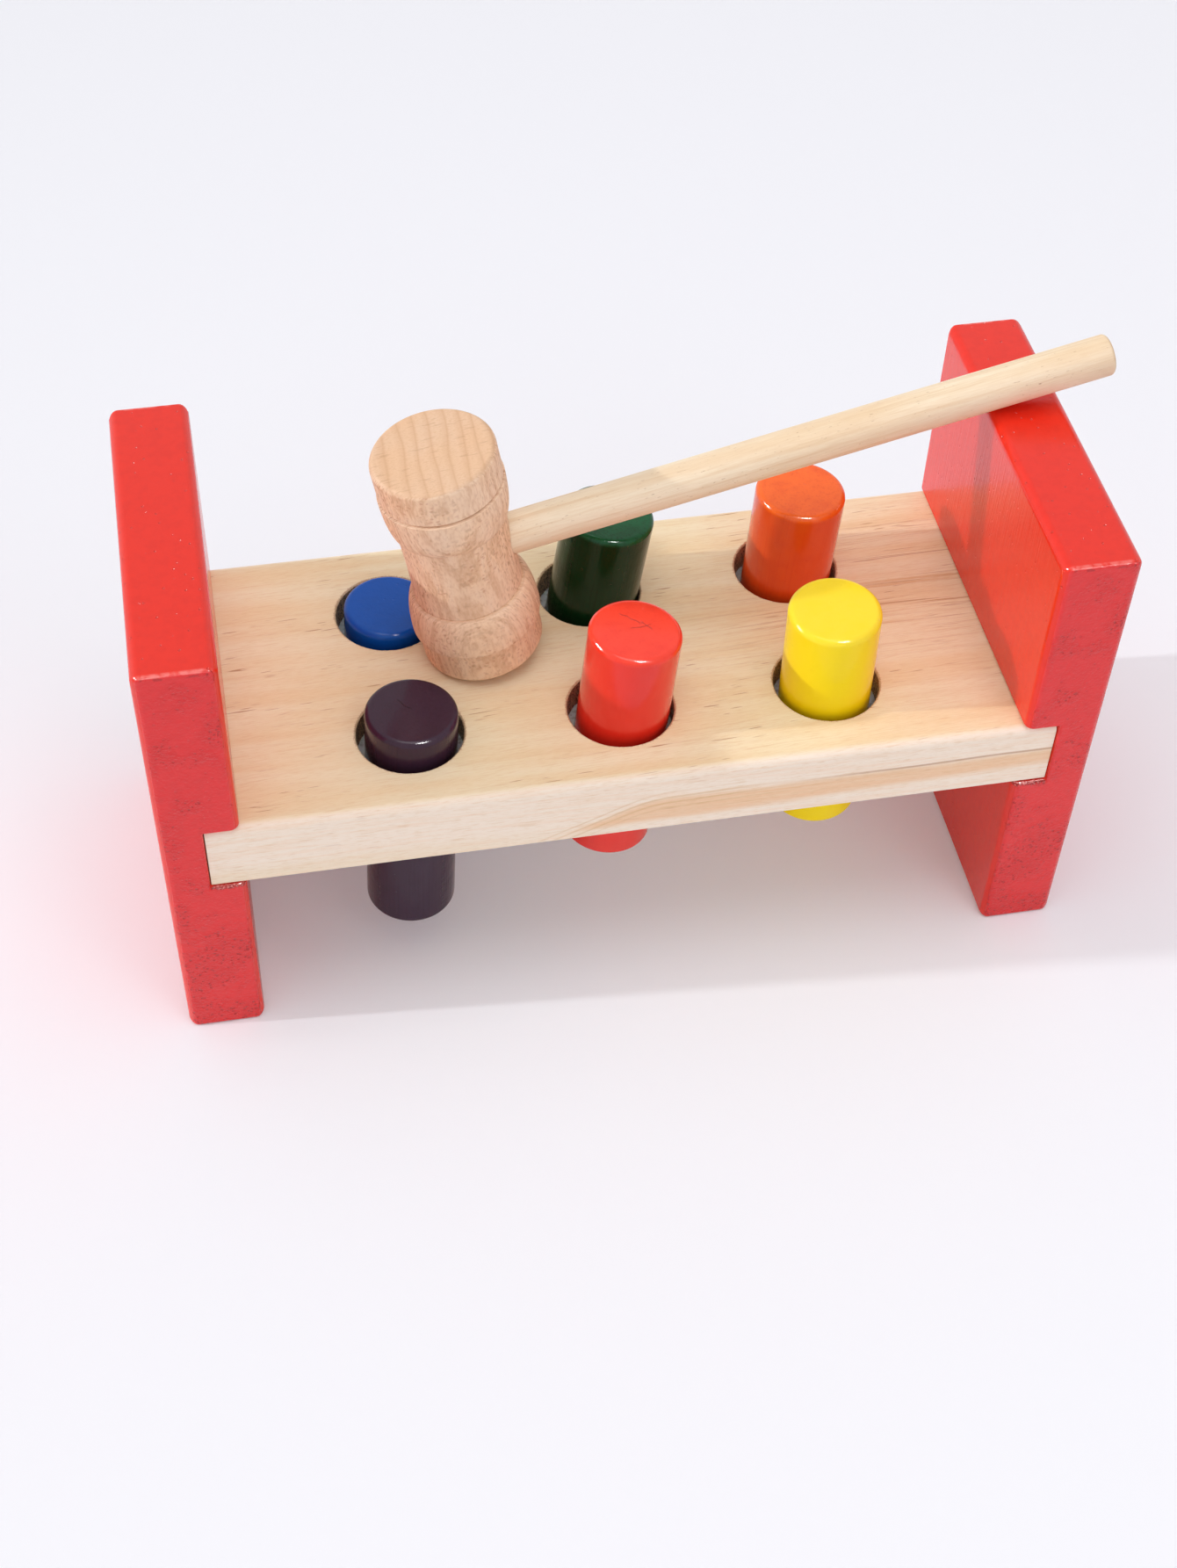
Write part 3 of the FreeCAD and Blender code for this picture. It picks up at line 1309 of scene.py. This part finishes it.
@dataclass
class Bores:
    """The deck's six holes, in two rows and three columns."""

    radius: float = 12.6 * MM
    seat_radius: float = 13.7 * MM
    seat_height: float = 4.66 * MM
    rim_break: float = 0.35 * MM
    column_spacing: float = 49.9 * MM
    column_offset: float = -0.3 * MM
    row_spacing: float = 40.2 * MM
    row_offset: float = -0.4 * MM
    rim_sides: int = 144
    roughness: float = 0.09 * MM
    cutter_spare: float = 2 * MM

    def centres(self) -> list[tuple[float, float]]:
        """The x and y of every hole.

        Returns:
            The centres, row by row from the front and from the left.
        """
        return [
            (
                self.column_offset + column * self.column_spacing,
                self.row_offset + row * self.row_spacing / 2,
            )
            for row in (-1, 1)
            for column in (-1, 0, 1)
        ]

    def distance(self, place: Place, centre: Vector) -> Level:
        """How far a point lies outside the nearest hole's wall, in millimetres.

        Args:
            place: The deck's coordinates.
            centre: The deck's middle.

        Returns:
            The distance, below 0 inside the hole.
        """
        x, y, _ = place.split()
        off_middle = abs(x + (centre.x - self.column_offset) * PER_MM)
        off_outer = abs(off_middle - self.column_spacing * PER_MM)
        off_column = off_middle.math("MINIMUM", off_outer)
        off_centre_line = abs(y + (centre.y - self.row_offset) * PER_MM)
        off_row = off_centre_line - self.row_spacing * PER_MM / 2
        squares = off_column.math("POWER", 2.0) + off_row.math("POWER", 2.0)
        return squares.math("SQRT") - self.radius * PER_MM

    def cutter(self, middle_height: float, half_thickness: float) -> bpy.types.Object:
        """All six bores with their ring seats as one cutter, with a little tear-out at the rims.

        Args:
            middle_height: The height of the deck's middle.
            half_thickness: Half the deck's thickness.

        Returns:
            The cutter.
        """
        flare = self.radius + self.rim_break + self.cutter_spare
        end = half_thickness + self.cutter_spare
        rim = half_thickness - self.rim_break
        seat = self.seat_height / 2
        lower = [
            (0.0, -end),
            (flare, -end),
            (self.radius, -rim),
            (self.radius, -seat),
            (self.seat_radius, -seat),
        ]
        outline = lower + [(radius, -height) for radius, height in reversed(lower)]
        model = lathe("bore_cutter", outline, self.rim_sides)
        cutters = []
        for number, (x, y) in enumerate(self.centres()):
            copy = model.copy()
            copy.data = model.data.copy()
            bpy.context.collection.objects.link(copy)
            place_by(copy, Matrix.Translation((x, y, middle_height)))
            cutters.append(copy)
            self.tear(copy, Vector((x, y, 0)), number)
        bpy.data.objects.remove(model)
        return merge("bore_cutters", cutters)

    def tear(self, cutter: bpy.types.Object, centre: Vector, seed: int) -> None:
        """Roughen a cutter's wall, so that the bore's rim isn't a perfect circle.

        Args:
            cutter: The cutter.
            centre: The bore's centre.
            seed: The start of its random numbers.
        """
        draw = random.Random(seed)
        shape = bmesh.new()
        shape.from_mesh(cutter.data)
        for vertex in shape.verts:
            outward = Vector((vertex.co.x, vertex.co.y, 0)) - centre
            if outward.length > self.radius / 2:
                vertex.co += outward.normalized() * draw.uniform(0, self.roughness)
        shape.to_mesh(cutter.data)
        shape.free()


@dataclass
class Deck:
    """The pine plank between the panels."""

    top_radius: float = 2.4 * MM
    bottom_radius: float = 0.8 * MM
    end_gap: float = 0.22 * MM
    bores: Bores = field(default_factory=Bores)
    wood: Pine = field(default_factory=Pine)

    def build(self) -> list[bpy.types.Object]:
        """Model the plank, ease its long edges, bore it and give it its grain.

        Returns:
            The plank.
        """
        low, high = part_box("bench_deck")
        shortened = Vector((self.end_gap, 0, 0))
        plank = block("bench_deck_plank", low + shortened, high - shortened)
        level = (low.z + high.z) / 2
        with edit_mode(plank):
            pick_edges(plank, lambda edge: runs_along(edge, X_AXIS) and middle(edge).z > level)
            round_edges(self.top_radius, segments=8)
            bottom = low.z + MM / 10
            pick_edges(plank, lambda edge: runs_along(edge, X_AXIS) and middle(edge).z < bottom)
            round_edges(self.bottom_radius, segments=4)
        carve(plank, self.bores.cutter(level, high.z - level))
        wood = self.wood.material(low, high, self.bores)
        return [finish_piece(plank, wood, "bench_deck")]


@dataclass
class Peg:
    """A painted peg, standing at the lean of its own joint."""

    paint: PegPaint
    radius: float = 10.9 * MM
    length: float = 65.0 * MM
    rim_radius: float = 1.5 * MM
    sides: int = 96

    def build(self) -> list[bpy.types.Object]:
        """Model the peg, round its rims and paint it.

        Returns:
            The peg.
        """
        node = f"{self.paint.name}_peg"
        low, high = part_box(node)
        centre = (low + high) / 2
        joint = next(joint for joint in frame["joints"] if joint["child"] == node)
        axis = Vector(joint["axis"]).normalized()
        reach = axis * self.length / 2
        body = dowel(f"{node}_body", centre - reach, centre + reach, self.radius, self.sides)
        with edit_mode(body):
            pick_sharp(HARD_TURN)
            round_edges(self.rim_radius, segments=8)
        paint = self.paint.material(centre, axis, self.length / 2)
        return [finish_piece(body, paint, node)]


@dataclass
class FrictionRings:
    """The soft rings in the bores, which keep the shape that the frame gives them."""

    colours: tuple[str, ...]
    rubber: SoftRubber = field(default_factory=SoftRubber)

    def build(self) -> list[bpy.types.Object]:
        """Give every ring of the frame its rubber.

        Returns:
            The rings.
        """
        rubber = self.rubber.material()
        rings = [frame["nodes"][f"{colour}_ring"] for colour in self.colours]
        for ring in rings:
            ring.data.materials.clear()
            ring.data.materials.append(rubber)
        return rings


@dataclass
class Hammer:
    """The hammer: a turned head and a dowel handle, lying across the bench."""

    head_length: float = 61.0 * MM
    drum_radius: float = 14.4 * MM
    drum_length: float = 9.3 * MM
    drum_edge: float = 1.3 * MM
    groove_depth: float = 0.7 * MM
    groove_width: float = 0.9 * MM
    upper_bead_rise: float = 1.6 * MM
    lower_bead_rise: float = 2.3 * MM
    bead_length: float = 10.5 * MM
    shoulder_radius: float = 13.1 * MM
    shoulder_step: float = 0.3 * MM
    waist_radius: float = 12.6 * MM
    handle_radius: float = 4.9 * MM
    handle_reach: float = 157.5 * MM
    handle_end: float = 1.0 * MM
    joint_gap: float = 0.12 * MM
    head_sides: int = 128
    handle_sides: int = 64
    head_wood: Beech = field(default_factory=Beech)
    handle_wood: Birch = field(default_factory=Birch)

    def handle_line(self) -> tuple[Vector, Vector]:
        """Find the handle in the frame's node.

        Returns:
            The centres of its end in the head and of its free end.
        """
        points = [vertex.co.copy() for vertex in frame["nodes"]["hammer_handle"].data.vertices]
        axis = X_AXIS
        start = end = Vector()
        for _ in range(10):
            heights = [point.dot(axis) for point in points]
            lowest, highest = min(heights), max(heights)
            first = [p for p, h in zip(points, heights) if h < lowest + MM / 5]
            last = [p for p, h in zip(points, heights) if h > highest - self.handle_end - MM / 5]
            start, end = midway(first, axis, lowest), midway(last, axis, highest)
            axis = (end - start).normalized()
        return start, end

    def end_outline(self, sign: int, bead_rise: float) -> Outline:
        """The outline from the waist's edge to the middle of one end.

        Args:
            sign: 1 for the upper end and -1 for the lower.
            bead_rise: How far the rounded ring stands out from its shoulder.

        Returns:
            The (radius, height) points.
        """
        half = self.head_length / 2
        groove = half - self.drum_length
        bead_top = groove - self.groove_width / 2
        bead_foot = groove - self.bead_length
        run = bead_top - bead_foot
        corner = self.drum_edge
        points = [
            (self.shoulder_radius - self.shoulder_step, bead_foot),
            *(
                (self.shoulder_radius + bead_rise * sine, bead_top - run * cosine)
                for sine, cosine in quarter_turn(steps=10)
            ),
            (self.drum_radius - self.groove_depth, groove),
            (self.drum_radius, groove + self.groove_width / 2),
            *(
                (self.drum_radius - corner * (1 - cosine), half - corner * (1 - sine))
                for sine, cosine in quarter_turn(steps=6)
            ),
            (0.0, half),
        ]
        return [(radius, sign * height) for radius, height in points]

    def outline(self) -> Outline:
        """The whole outline of the head.

        Returns:
            The (radius, height) points, from its lower end to its upper one.
        """
        rise = self.shoulder_radius - self.shoulder_step - self.waist_radius
        foot = self.head_length / 2 - self.drum_length - self.bead_length
        shares = [step / 6 - 1 for step in range(1, 12)]
        waist = [(self.waist_radius + rise * share**2, foot * share) for share in shares]
        lower = self.end_outline(-1, self.lower_bead_rise)
        return lower[::-1] + waist + self.end_outline(1, self.upper_bead_rise)

    def build(self) -> list[bpy.types.Object]:
        """Model the head and the handle where the hammer lies.

        Returns:
            The head and the handle.
        """
        start, end = self.handle_line()
        along = (end - start).normalized()
        centre = end - along * self.handle_reach
        back = Z_AXIS.cross(along).normalized()
        up = along.cross(back)
        place = Matrix.Translation(centre) @ Matrix((along, back, up)).transposed().to_4x4()
        head = lathe("hammer_head_turning", self.outline(), self.head_sides)
        place_by(head, place)
        bore = self.handle_radius + self.joint_gap
        carve(head, dowel("joint_cutter", start, end, bore, self.handle_sides))
        handle = dowel("hammer_handle_dowel", start, end, self.handle_radius, self.handle_sides)
        with edit_mode(handle):
            pick_sharp(HARD_TURN)
            round_edges(self.handle_end, segments=6)
        beech = self.head_wood.material(centre, up, self.head_length / 2)
        birch = self.handle_wood.material(start, along, (end - start).length)
        return [
            finish_piece(head, beech, "hammer_head"),
            finish_piece(handle, birch, "hammer_handle"),
        ]


# --------------------------------------------------------------------------------------------
# The studio
# --------------------------------------------------------------------------------------------


@dataclass(frozen=True)
class View:
    """The camera, looking down on the bench from its front left."""

    place: Vector = Vector((-86.257, -378.398, 458.186)) * MM
    turn_degrees: tuple[float, float, float] = (41.8985, -0.8331, -10.2733)
    focal_length: float = 52.146
    sensor: float = 36.0
    shift: tuple[float, float] = (0.02057, -0.00996)

    def set_up(self) -> None:
        """Add the camera to the scene."""
        data = bpy.data.cameras.new("camera")
        camera = bpy.data.objects.new("camera", data)
        bpy.context.collection.objects.link(camera)
        camera.location = self.place
        camera.rotation_euler = [math.radians(angle) for angle in self.turn_degrees]
        data.sensor_width = self.sensor
        data.lens = self.focal_length
        data.shift_x, data.shift_y = self.shift
        bpy.context.scene.camera = camera


@dataclass(frozen=True)
class Lamp:
    """One lamp of the studio: a distant one if it has no size, else a square soft one."""

    name: str
    toward: Vector
    power: float
    kind: Shine = Shine.FULL
    tint: Colour = (1.0, 1.0, 1.0)
    distance: float = 1.2
    size: float = 0.0
    spread: float = 1.4

    def light(self, aim: Vector) -> None:
        """Add the lamp, shining on a point.

        Args:
            aim: The point.
        """
        data = bpy.data.lights.new(self.name, "AREA" if self.size else "SUN")
        data.energy = self.power
        data.color = self.tint
        if self.size:
            data.size = self.size
        else:
            data.angle = math.radians(self.spread)
        lamp = bpy.data.objects.new(self.name, data)
        bpy.context.collection.objects.link(lamp)
        lamp.visible_diffuse = self.kind is Shine.FULL
        direction = self.toward.normalized()
        lamp.location = aim - direction * self.distance
        lamp.rotation_euler = direction.to_track_quat("-Z", "Y").to_euler()


@dataclass
class Studio:
    """A white table under soft light, with one low key lamp from the left."""

    floor_half: float = 4.0
    fill: float = 0.62
    backdrop: float = 0.94
    fill_tint: Colour = (1.01, 0.98, 0.985)
    paper: PaperFloor = field(default_factory=PaperFloor)
    lamps: tuple[Lamp, ...] = (
        Lamp("key", Vector((1, -0.08, -0.45)), 1.25, tint=(0.94, 0.99, 0.99)),
        Lamp("overhead", Vector((0.02, 0.12, -1)), 3.0, distance=1.1, size=0.6),
        Lamp("window", Vector((-0.4, 0.75, -0.7)), 0.8, distance=1.2, size=0.4),
        Lamp(
            "front_sparkle",
            Vector((-0.2, 0.46, -0.87)),
            14.0,
            Shine.SPARKLE,
            distance=1.0,
            size=0.24,
        ),
        Lamp(
            "left_sparkle",
            Vector((0.84, -0.22, -0.49)),
            16.0,
            Shine.SPARKLE,
            distance=1.0,
            size=0.16,
        ),
    )

    def set_up(self) -> None:
        """Add the floor, the world and the lamps."""
        bpy.ops.mesh.primitive_plane_add(size=2 * self.floor_half)
        floor = settle("floor")
        floor.data.materials.append(self.paper.material())
        self.world()
        low, high = cad_box
        for lamp in self.lamps:
            lamp.light((low + high) / 2)
        bpy.context.scene.view_settings.view_transform = "Standard"

    def world(self) -> None:
        """Light the scene evenly, and show a pale background to the camera and in reflections."""
        world = bpy.data.worlds.new("studio")
        bpy.context.scene.world = world
        world.use_nodes = True
        tree = world.node_tree
        background = tree.nodes["Background"]
        background.inputs["Color"].default_value = (*self.fill_tint, 1.0)
        path = tree.nodes.new("ShaderNodeLightPath")
        seen = path.outputs["Is Camera Ray"]
        for ray in ("Is Glossy Ray", "Is Transmission Ray"):
            either = tree.nodes.new("ShaderNodeMath")
            either.operation = "MAXIMUM"
            tree.links.new(seen, either.inputs[0])
            tree.links.new(path.outputs[ray], either.inputs[1])
            seen = either.outputs[0]
        level = tree.nodes.new("ShaderNodeMapRange")
        level.inputs["To Min"].default_value = self.fill
        level.inputs["To Max"].default_value = self.backdrop
        tree.links.new(seen, level.inputs["Value"])
        tree.links.new(level.outputs[0], background.inputs["Strength"])


# Several paints give side_shade, the painted shade of their sides.
PEG_PAINTS = (
    PegPaint("blue", shown(10, 86, 186), shown(8, 76, 164), grain=0.02, specular=0.1),
    PegPaint(
        "green", shown(18, 92, 52), shown(8, 36, 12), grain=0.07, specular=0.1, side_shade=0.85
    ),
    PegPaint(
        "orange",
        shown(255, 112, 36),
        shown(216, 56, 22),
        grain=0.04,
        specular=0.2,
        side_shade=0.65,
        specks=0.3,
    ),
    PegPaint(
        "purple",
        shown(60, 38, 56),
        shown(52, 30, 44),
        grain=0.05,
        specular=0.12,
        checks=((-0.5, 2.8, 2.8, -50),),
    ),
    PegPaint(
        "red",
        shown(254, 66, 44),
        shown(232, 36, 24),
        grain=0.03,
        specular=0.25,
        side_shade=0.7,
        checks=((0.6, 4.6, 3.4, -38), (2.4, 1.8, 3.0, 10), (3.6, 2.2, 2.2, -60)),
    ),
    PegPaint(
        "yellow",
        shown(255, 228, 56),
        shown(255, 224, 0),
        grain=0.02,
        specular=0.05,
        side_shade=0.85,
        specks=0.45,
    ),
)


def main() -> None:
    """Set up the studio, build the bench in order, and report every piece."""
    logging.basicConfig(level=logging.INFO, format="%(name)s: %(message)s")
    bpy.ops.object.select_all(action="DESELECT")
    View().set_up()
    Studio().set_up()
    assemblies = [
        *(EndPanel(side) for side in Side),
        Deck(),
        *(Peg(paint) for paint in PEG_PAINTS),
        FrictionRings(tuple(paint.name for paint in PEG_PAINTS)),
        Hammer(),
    ]
    for assembly in assemblies:
        for piece in assembly.build():
            finish = piece.active_material.name
            LOG.info("%s: %d faces, %s", piece.name, len(piece.data.polygons), finish)


if __name__ == "__main__":
    main()
